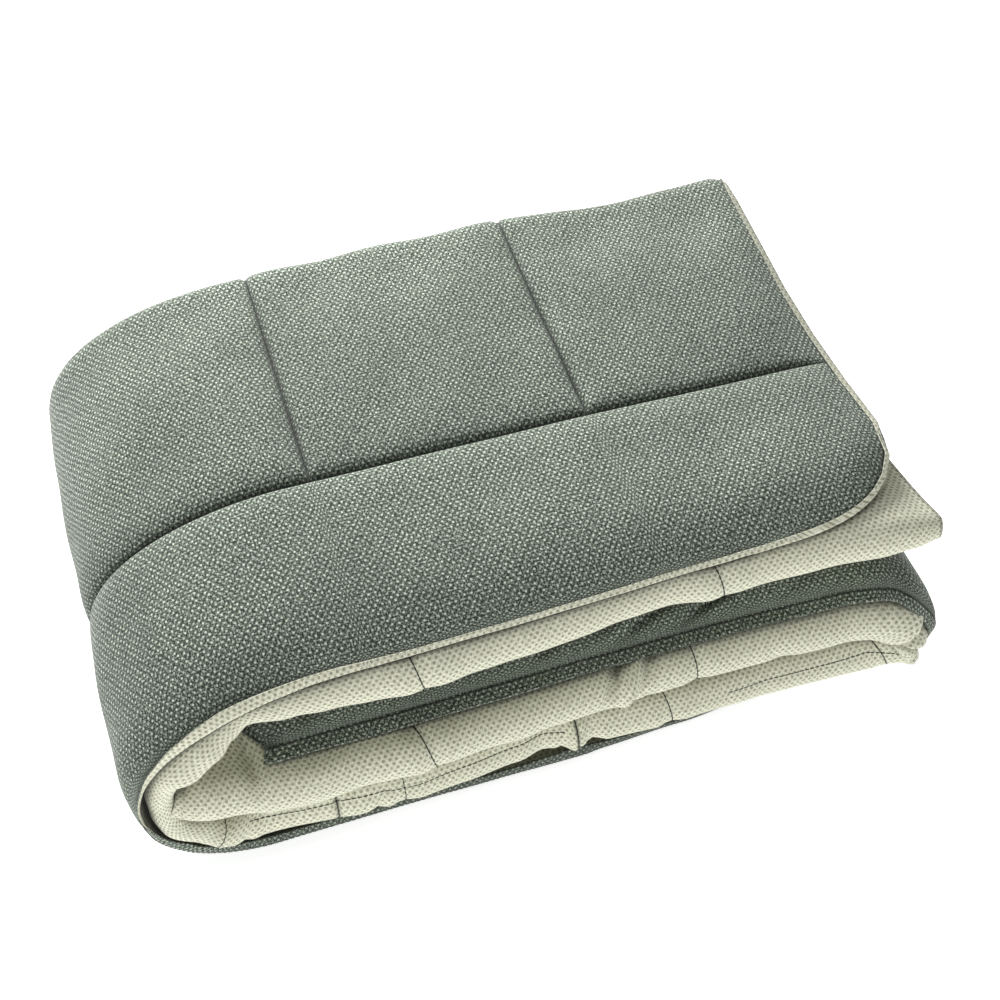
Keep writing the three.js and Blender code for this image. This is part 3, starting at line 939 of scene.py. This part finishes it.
class Thread:
    """Rows of short stitches, each a small rounded piece whose ends go down into the cloth."""

    # Sections of one stitch: which of its steps it lies at, its height and its width, in radii.
    SECTIONS = ((0, -0.3, 0.7), (1, 0.25, 1.0), (3, 0.45, 1.05), (4, 0.25, 1.0), (5, -0.3, 0.7))
    STEPS = 5
    SIDES = 5
    FLATNESS = 0.8

    def __init__(self, sizes):
        self.length = sizes.stitch_length * 1000
        self.radius = sizes.thread_width * 500
        self.points, self.faces = [], []

    def row(self, points, normals):
        spots, ways = resample(points, normals, self.length / self.STEPS)
        for k in range(0, len(spots) - self.STEPS, self.STEPS):
            toward = spots[k + self.STEPS] - spots[k]
            if np.linalg.norm(toward) > 1e-6:
                self.stitch(spots[k:k + self.STEPS + 1], toward, ways[k + 2])

    def stitch(self, spots, toward, up):
        side = unit(np.cross(unit(toward), up))
        base, sides = len(self.points), self.SIDES
        for step, rise, wide in self.SECTIONS:
            middle = spots[step] + up * rise * self.radius
            for m in range(sides):
                turn = 2 * math.pi * m / sides
                out = math.cos(turn) * side + math.sin(turn) * up * self.FLATNESS
                self.points.append(middle + out * self.radius * wide)
        last = base + (len(self.SECTIONS) - 1) * sides
        for a in range(base, last, sides):
            for m in range(sides):
                n = (m + 1) % sides
                self.faces.append((a + m, a + n, a + n + sides, a + m + sides))
        self.faces.append(tuple(base + m for m in range(sides))[::-1])
        self.faces.append(tuple(last + m for m in range(sides)))


def seam_lines(body):
    """Every quilting seam that can be seen, as a line of points with outward directions."""
    outside = Surface(body, body.outside, body.inside)
    inside = Surface(body, body.inside, body.outside)
    s = np.arange(5, MIDDLE_START + 20, 2.0)
    yield outside.at(s, LONG_SEAM_W + 0 * s)
    for seam in CROSS_SEAMS:
        w = np.arange(LONG_SEAM_W + 1, LAYER_2_W + 10, 2.0)
        if seam[0] < MIDDLE_START:
            yield outside.at(seam_place(seam, w), w)
        w = np.arange(NEAR_FOLD_W - 46, LAYER_3_W + 38, 1.6)
        yield inside.at(seam_place(seam, w), w)
    for at, low, high in SHORT_SEAMS:
        w = np.arange(low, high, 1.6)
        yield inside.at(at + 0 * w, w)
    for start, stop in FOLD_SEAM_STITCHES:
        s = np.arange(start, stop, 2.0)
        points, normals = inside.at(s, np.interp(s, FOLD_SEAM_S, FOLD_SEAM_W))
        yield points - FOLD_SEAM_SUNK * normals, normals


def hem_lines(body):
    """The row of stitches along the near hem's inner edge, on both of its sides."""
    middle, normal, half = body.hem_rows[1]
    order = [k for k, (i, j) in enumerate(body.hem_loop) if j == 0 and body.s[i] > HEM_STITCHES_S]
    for sign in (1, -1):
        points = middle + sign * half * normal
        yield points[order], sign * normal[order]


def thread_mesh(name, lines, sizes, floor):
    thread = Thread(sizes)
    for points, normals in lines:
        thread.row(points, normals)
    return make_mesh(name, packed(thread.points, floor), thread.faces)


class Nodes:
    """Puts shader nodes in a material and joins them."""

    def __init__(self, name):
        self.material = bpy.data.materials.new(name)
        self.material.use_nodes = True
        self.tree = self.material.node_tree
        self.tree.nodes.clear()
        self.shader = self.add("ShaderNodeBsdfPrincipled")
        output = self.add("ShaderNodeOutputMaterial")
        self.tree.links.new(self.shader.outputs[0], output.inputs[0])

    def add(self, kind, **settings):
        node = self.tree.nodes.new(kind)
        for name, value in settings.items():
            setattr(node, name, value)
        return node

    def put(self, socket, value):
        if isinstance(value, bpy.types.NodeSocket):
            self.tree.links.new(value, socket)
        else:
            socket.default_value = value

    def math(self, operation, a, b=0.0):
        node = self.add("ShaderNodeMath", operation=operation)
        self.put(node.inputs[0], a)
        self.put(node.inputs[1], b)
        return node.outputs[0]

    def point(self, x, y, z=0.0):
        node = self.add("ShaderNodeCombineXYZ")
        for socket, value in zip(node.inputs, (x, y, z)):
            self.put(socket, value)
        return node.outputs[0]

    def ramp(self, value, low, high, to_low=0.0, to_high=1.0):
        """An even change from to_low, where the value is low, to to_high, where it is high."""
        node = self.add("ShaderNodeMapRange", interpolation_type="SMOOTHSTEP")
        names = ("Value", "From Min", "From Max", "To Min", "To Max")
        for name, number in zip(names, (value, low, high, to_low, to_high)):
            self.put(node.inputs[name], number)
        return node.outputs["Result"]

    def mix(self, share, a, b, blend="MIX"):
        node = self.add("ShaderNodeMix", data_type="RGBA", blend_type=blend)
        self.put(node.inputs["Factor"], share)
        self.put(node.inputs[6], a)
        self.put(node.inputs[7], b)
        return node.outputs[2]

    def noise(self, vector, scale, detail=2.0, rough=0.5, dimensions="2D"):
        node = self.add("ShaderNodeTexNoise", noise_dimensions=dimensions)
        self.put(node.inputs["Vector"], vector)
        self.put(node.inputs["Scale"], scale)
        self.put(node.inputs["Detail"], detail)
        self.put(node.inputs["Roughness"], rough)
        return node.outputs["Fac"]

    def cells(self, vector, uneven):
        """The middle of the nearest cell of a grid, and a chance colour for each cell."""
        node = self.add("ShaderNodeTexVoronoi", voronoi_dimensions="2D", feature="F1")
        self.put(node.inputs["Vector"], vector)
        self.put(node.inputs["Scale"], 1.0)
        self.put(node.inputs["Randomness"], uneven)
        return node.outputs["Position"], node.outputs["Color"]

    def split(self, vector):
        node = self.add("ShaderNodeSeparateXYZ")
        self.put(node.inputs[0], vector)
        return node.outputs[0], node.outputs[1]

    def bump(self, height, strength, distance):
        node = self.add("ShaderNodeBump")
        self.put(node.inputs["Height"], height)
        self.put(node.inputs["Strength"], strength)
        self.put(node.inputs["Distance"], distance)
        return node.outputs[0]

    def finish(self, **inputs):
        """Sets the shader's inputs, named with _ for each space, and gives the material."""
        for name, value in inputs.items():
            self.put(self.shader.inputs[name.replace("_", " ")], value)
        return self.material


def cloth_lengths(nodes):
    """Lengths along and across the cloth itself, in metres, a little uneven as woven cloth is."""
    lengths = nodes.add("ShaderNodeUVMap", uv_map="cloth").outputs[0]
    along, across = nodes.split(lengths)
    sway = nodes.math("SUBTRACT", nodes.noise(lengths, SWAY_SCALE, 1.0), 0.5)
    along = nodes.math("ADD", along, nodes.math("MULTIPLY", sway, SWAY_ALONG))
    across = nodes.math("ADD", across, nodes.math("MULTIPLY", sway, SWAY_ACROSS))
    return lengths, along, across


def dot_cells(nodes, along, across, sizes, uneven):
    """Distance in metres to the nearest dot of the staggered rows, and a chance for each dot."""
    x = nodes.math("DIVIDE", along, sizes.dot_along)
    y = nodes.math("DIVIDE", across, sizes.dot_across)
    u, v = nodes.math("ADD", x, y), nodes.math("SUBTRACT", x, y)
    middle, chance = nodes.cells(nodes.point(u, v), uneven)
    middle_u, middle_v = nodes.split(middle)
    off_u, off_v = nodes.math("SUBTRACT", u, middle_u), nodes.math("SUBTRACT", v, middle_v)
    off_x, off_y = nodes.math("ADD", off_u, off_v), nodes.math("SUBTRACT", off_u, off_v)
    off_along = nodes.math("MULTIPLY", off_x, sizes.dot_along / 2)
    off_across = nodes.math("MULTIPLY", off_y, sizes.dot_across / 2)
    squares = (nodes.math("MULTIPLY", off, off) for off in (off_along, off_across))
    return nodes.math("SQRT", nodes.math("ADD", *squares)), chance


def yarns_of(nodes, along, across):
    """Fine warp and weft: two patterns of streaks, each long in its own direction."""
    fine_along, long_along, fine_across, long_across = (
        nodes.math("MULTIPLY", length, scale)
        for length in (along, across)
        for scale in (YARN_SCALE, YARN_SCALE * YARN_STREAK)
    )
    warp = nodes.noise(nodes.point(fine_along, long_across), 1.0, 1.0)
    weft = nodes.noise(nodes.point(long_along, fine_across, 7.0), 1.0, 1.0)
    return nodes.math("MULTIPLY", nodes.math("ADD", warp, weft), 0.5)


def shaded(nodes, colour, depth, reach):
    """The cloth's colour with painted shade: darker where it lies deep in a fold, from ambient
    occlusion, and where it is drawn into a seam or lies on the shaded bottom, from the painted shade
    attribute.
    """
    # Ambient occlusion multiplied into the base colour: painted shade in folds and gaps.
    node = nodes.add("ShaderNodeAmbientOcclusion", samples=6)
    nodes.put(node.inputs["Distance"], reach)
    light = nodes.ramp(node.outputs["AO"], 0.15, 0.8, depth, 1.0)
    colour = nodes.mix(1.0, colour, nodes.point(light, light, light), "MULTIPLY")
    # Painted shade from the mesh: seam shadows and the shaded bottom, mixed towards SEAM_SHADOW.
    sewn = nodes.add("ShaderNodeAttribute", attribute_name="painted_shade").outputs["Fac"]
    dark = nodes.math("MULTIPLY", sewn, SEAM_SHADOW_SHARE)
    return nodes.mix(dark, colour, from_screen(*SEAM_SHADOW))


def tinted(colour, share):
    """A colour made darker (below 1) or lighter, for a shader socket."""
    return tuple(min(1.0, c * share) for c in colour[:3]) + (1.0,)


class Cloth(Nodes):
    """What the quilt's two cloths share: mixed yarn, a fine grain, and staggered rows of dots.

    `uneven` is how far the dots stray from their rows, `edge` is where a dot fades, in metres from
    its middle, and `chances` is how faint some of them are.
    """

    def __init__(self, name, sizes, uneven, edge, chances):
        super().__init__(name)
        self.lengths, along, across = cloth_lengths(self)
        away, chance = dot_cells(self, along, across, sizes, uneven)
        dots = self.ramp(away, *edge, 1.0, 0.0)
        self.dots = self.math("MULTIPLY", dots, self.ramp(chance, *chances))
        self.yarn = yarns_of(self, along, across)
        self.grain = self.noise(self.point(along, across), GRAIN_SCALE, 1.0)

    def ground(self, colour, low, high, dark, light):
        """The mixed yarn's colour."""
        yarns = self.ramp(self.yarn, low, high)
        return self.mix(yarns, tinted(colour, dark), tinted(colour, light))

    def woven(self, colour, shade, rough, dot_height, yarn_height, strength, distance, sheen):
        """The finished material, matt and with the relief of its dots and yarn."""
        dots = self.math("MULTIPLY", self.dots, dot_height)
        height = self.math("ADD", dots, self.math("MULTIPLY", self.yarn, yarn_height))
        return self.finish(
            # The base colour carries the painted shade of shaded().
            Base_Color=shaded(self, colour, *shade),
            Roughness=self.ramp(self.yarn, 0.3, 0.7, *rough),
            Normal=self.bump(height, strength, distance),
            Sheen_Weight=SHEEN,
            Sheen_Roughness=sheen,
            Specular_IOR_Level=0.2,
        )


def face_material(sizes, colours):
    """The speckled face: dark mixed yarn with small pale specks."""
    cloth = Cloth(
        "speckled_face", sizes, uneven=0.15, edge=(0.0005, 0.001), chances=(0.1, 0.9, 0.5, 1.0)
    )
    speck = tuple(colours.face_speck)
    ground = cloth.ground(colours.face_ground, 0.42, 0.58, 0.45, 1.55)
    gaps = cloth.ramp(cloth.grain, 0.34, 0.5, 0.75, 0.0)
    ground = cloth.mix(gaps, ground, tinted(colours.face_ground, 0.25))
    flecks = cloth.math("MULTIPLY", cloth.ramp(cloth.grain, 0.55, 0.66), 0.42)
    ground = cloth.mix(flecks, ground, speck)
    colour = cloth.mix(cloth.math("MULTIPLY", cloth.dots, 0.94), ground, speck)
    patches = cloth.ramp(cloth.noise(cloth.lengths, 9.0, 3.0, 0.6), 0.3, 0.7, 0.93, 1.06)
    colour = cloth.mix(1.0, colour, cloth.point(patches, patches, patches), "MULTIPLY")
    return cloth.woven(
        colour, shade=(0.12, 0.045), rough=(0.94, 0.84),
        dot_height=0.8, yarn_height=0.7, strength=0.55, distance=0.0004, sheen=0.55,
    )


def back_material(sizes, colours):
    """The pale back: cream cloth with soft olive grey dots."""
    cloth = Cloth(
        "dotted_back", sizes, uneven=0.1, edge=(0.0006, 0.00145), chances=(0.0, 0.8, 0.75, 1.0)
    )
    dot = tuple(colours.back_dot)
    ground = cloth.ground(colours.back_ground, 0.4, 0.6, 0.86, 1.08)
    ground = cloth.mix(cloth.ramp(cloth.grain, 0.32, 0.5, 0.35, 0.0), ground, dot)
    colour = cloth.mix(cloth.math("MULTIPLY", cloth.dots, 0.9), ground, dot)
    return cloth.woven(
        colour, shade=(0.3, 0.013), rough=(0.95, 0.86),
        dot_height=-0.5, yarn_height=0.8, strength=0.45, distance=0.00035, sheen=0.6,
    )


def thread_material(colours):
    """Matt sewing thread with a light twist."""
    nodes = Nodes("sewing_thread")
    spot = nodes.add("ShaderNodeTexCoord").outputs["Object"]
    twist = nodes.noise(spot, 2600.0, dimensions="3D")
    return nodes.finish(
        Base_Color=nodes.mix(twist, tinted(colours.thread, 0.6), tuple(colours.thread)),
        Roughness=nodes.ramp(twist, 0.3, 0.7, 0.7, 0.85),
        Normal=nodes.bump(twist, 0.4, 0.0001),
    )


def floor_material(colours):
    """A matt floor that glows a little, so that it stays as pale as a studio's."""
    nodes = Nodes("pale_floor")
    spot = nodes.add("ShaderNodeTexCoord").outputs["Object"]
    grain = nodes.noise(spot, 3.0)
    tint = nodes.mix(grain, tinted(colours.floor, 0.985), tuple(colours.floor))
    return nodes.finish(
        Base_Color=tint,
        Roughness=0.9,
        Specular_IOR_Level=0.1,
        Emission_Color=tint,
        Emission_Strength=FLOOR_GLOW,
    )


def from_screen(red, green, blue):
    """A colour as seen on a screen, 0 to 255, as the linear colour that shaders take."""
    def one(value):
        v = value / 255
        return v / 12.92 if v <= 0.04045 else ((v + 0.055) / 1.055) ** 2.4

    return (one(red), one(green), one(blue), 1.0)


def length_property(name, description, default, low, high):
    return FloatProperty(
        name=name, description=description, default=default, min=low, max=high,
        precision=4, unit="LENGTH", subtype="DISTANCE",
    )


def colour_property(name, description, default):
    return FloatVectorProperty(
        name=name, description=description, default=default, size=4, min=0, max=1,
        subtype="COLOR",
    )


class QuiltSizes(bpy.types.PropertyGroup):
    """Sizes of the quilt's padding and sewing."""

    layer_pitch: length_property(
        "Layer pitch", "From the middle of one layer to the next", 0.0198, 0.016, 0.022
    )
    full_half: length_property(
        "Half thickness", "Half of a layer's thickness between seams", 0.0094, 0.006, 0.0098
    )
    seam_half: length_property(
        "Half thickness at seams", "Half of a layer's thickness where it is sewn",
        0.0034, 0.002, 0.008,
    )
    stitch_length: length_property(
        "Stitch length", "Length of one stitch with its gap", 0.0038, 0.002, 0.008
    )
    thread_width: length_property(
        "Thread width", "Width of the sewing thread", 0.0009, 0.0003, 0.002
    )
    dot_along: length_property(
        "Dots along", "Distance between dots along the quilt", 0.0043, 0.002, 0.02
    )
    dot_across: length_property(
        "Dots across", "Distance between rows of dots across the quilt", 0.0057, 0.002, 0.02
    )


class QuiltColours(bpy.types.PropertyGroup):
    """Colours of the quilt's two cloths, its thread and the floor."""

    face_ground: colour_property("Face", "Ground of the dark face", from_screen(78, 88, 77))
    face_speck: colour_property("Specks", "Specks of the dark face", from_screen(217, 226, 210))
    back_ground: colour_property("Back", "Ground of the pale back", from_screen(231, 231, 211))
    back_dot: colour_property("Dots", "Dots of the pale back", from_screen(146, 146, 120))
    thread: colour_property("Thread", "Sewing thread", from_screen(44, 49, 41))
    floor: colour_property("Floor", "Plain pale floor", from_screen(246, 247, 246))


class QUILT_OT_body(bpy.types.Operator):
    """Builds the padded body with its face, back and turned hem."""

    bl_idname = "quilt.body"
    bl_label = "Quilt body"

    def execute(self, context):
        scene = context.scene
        obj = body_mesh(scene.quilt_sizes)
        obj.data.materials.append(face_material(scene.quilt_sizes, scene.quilt_colours))
        obj.data.materials.append(back_material(scene.quilt_sizes, scene.quilt_colours))
        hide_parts("quilt")
        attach(obj, "root")
        return {"FINISHED"}


class QUILT_OT_stitches(bpy.types.Operator):
    """Sews the quilting seams and the hem with rows of stitches."""

    bl_idname = "quilt.stitches"
    bl_label = "Quilt stitches"

    def execute(self, context):
        scene = context.scene
        sizes = scene.quilt_sizes
        body = Body(sizes)
        floor = packed(body.points)[:, 2].min()
        material = thread_material(scene.quilt_colours)
        rows = {"seam_stitches": seam_lines(body), "hem_stitches": hem_lines(body)}
        for name, lines in rows.items():
            obj = thread_mesh(name, lines, sizes, floor)
            obj.data.materials.append(material)
            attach(obj, "root")
        return {"FINISHED"}


def soft_light(name, spot, aim, size, power):
    data = bpy.data.lights.new(name, "AREA")
    data.shape = "DISK"
    data.size = size
    data.energy = power
    obj = bpy.data.objects.new(name, data)
    bpy.context.scene.collection.objects.link(obj)
    obj.location = spot
    obj.rotation_mode = "QUATERNION"
    obj.rotation_quaternion = (Vector(spot) - Vector(aim)).to_track_quat("Z", "Y")


def photo_camera():
    """A camera that sees the pack as the photo does, with its picture level."""
    turn, rise = math.radians(CAMERA_TURN), math.radians(CAMERA_RISE)
    flat = math.cos(rise)
    back = Vector((math.sin(turn) * flat, -math.cos(turn) * flat, math.sin(rise)))
    right = Vector((math.cos(turn), math.sin(turn), 0.0))
    data = bpy.data.cameras.new("camera")
    data.lens = CAMERA_LENS
    data.sensor_width = CAMERA_SENSOR
    data.clip_start = 0.05
    data.clip_end = 40
    camera = bpy.data.objects.new("camera", data)
    bpy.context.scene.collection.objects.link(camera)
    axes = Matrix((right, back.cross(right), back)).transposed().to_4x4()
    axes.translation = Vector(CAMERA_PLACE)
    camera.matrix_world = axes
    return camera


class QUILT_OT_stage(bpy.types.Operator):
    """Makes the pale floor, the soft lights and the camera."""

    bl_idname = "quilt.stage"
    bl_label = "Stage"

    def execute(self, context):
        scene = context.scene
        half = FLOOR_HALF
        corners = [(-half, -half, 0), (half, -half, 0), (half, half, 0), (-half, half, 0)]
        floor = make_mesh("pale_floor", corners, [(0, 1, 2, 3)])
        floor.location.z = -FLOOR_GAP
        floor.data.materials.append(floor_material(scene.quilt_colours))

        world = bpy.data.worlds.new("studio")
        world.use_nodes = True
        sky = world.node_tree.nodes["Background"]
        sky.inputs["Color"].default_value = (1.0, 1.0, 0.99, 1.0)
        sky.inputs["Strength"].default_value = SKY_STRENGTH
        scene.world = world
        for light in LIGHTS:
            soft_light(*light)
        scene.camera = photo_camera()
        scene.view_settings.view_transform = "Standard"
        return {"FINISHED"}


class QUILT_PT_panel(bpy.types.Panel):
    """Sizes and colours of the quilt, and a button for each of its steps."""

    bl_idname = "QUILT_PT_panel"
    bl_label = "Folded quilt"
    bl_space_type = "VIEW_3D"
    bl_region_type = "UI"
    bl_category = "Quilt"

    def draw(self, context):
        scene = context.scene
        for group in (scene.quilt_sizes, scene.quilt_colours):
            box = self.layout.box()
            for name in group.__annotations__:
                box.prop(group, name)
        for operator in (QUILT_OT_body, QUILT_OT_stitches, QUILT_OT_stage):
            self.layout.operator(operator.bl_idname)


CLASSES = (QuiltSizes, QuiltColours, QUILT_OT_body, QUILT_OT_stitches, QUILT_OT_stage, QUILT_PT_panel)


def register():
    for item in CLASSES:
        bpy.utils.register_class(item)
    bpy.types.Scene.quilt_sizes = PointerProperty(type=QuiltSizes)
    bpy.types.Scene.quilt_colours = PointerProperty(type=QuiltColours)


def unregister():
    del bpy.types.Scene.quilt_sizes
    del bpy.types.Scene.quilt_colours
    for item in reversed(CLASSES):
        bpy.utils.unregister_class(item)


def main():
    register()
    bpy.ops.quilt.body()
    bpy.ops.quilt.stitches()
    bpy.ops.quilt.stage()


if __name__ == "__main__":
    main()
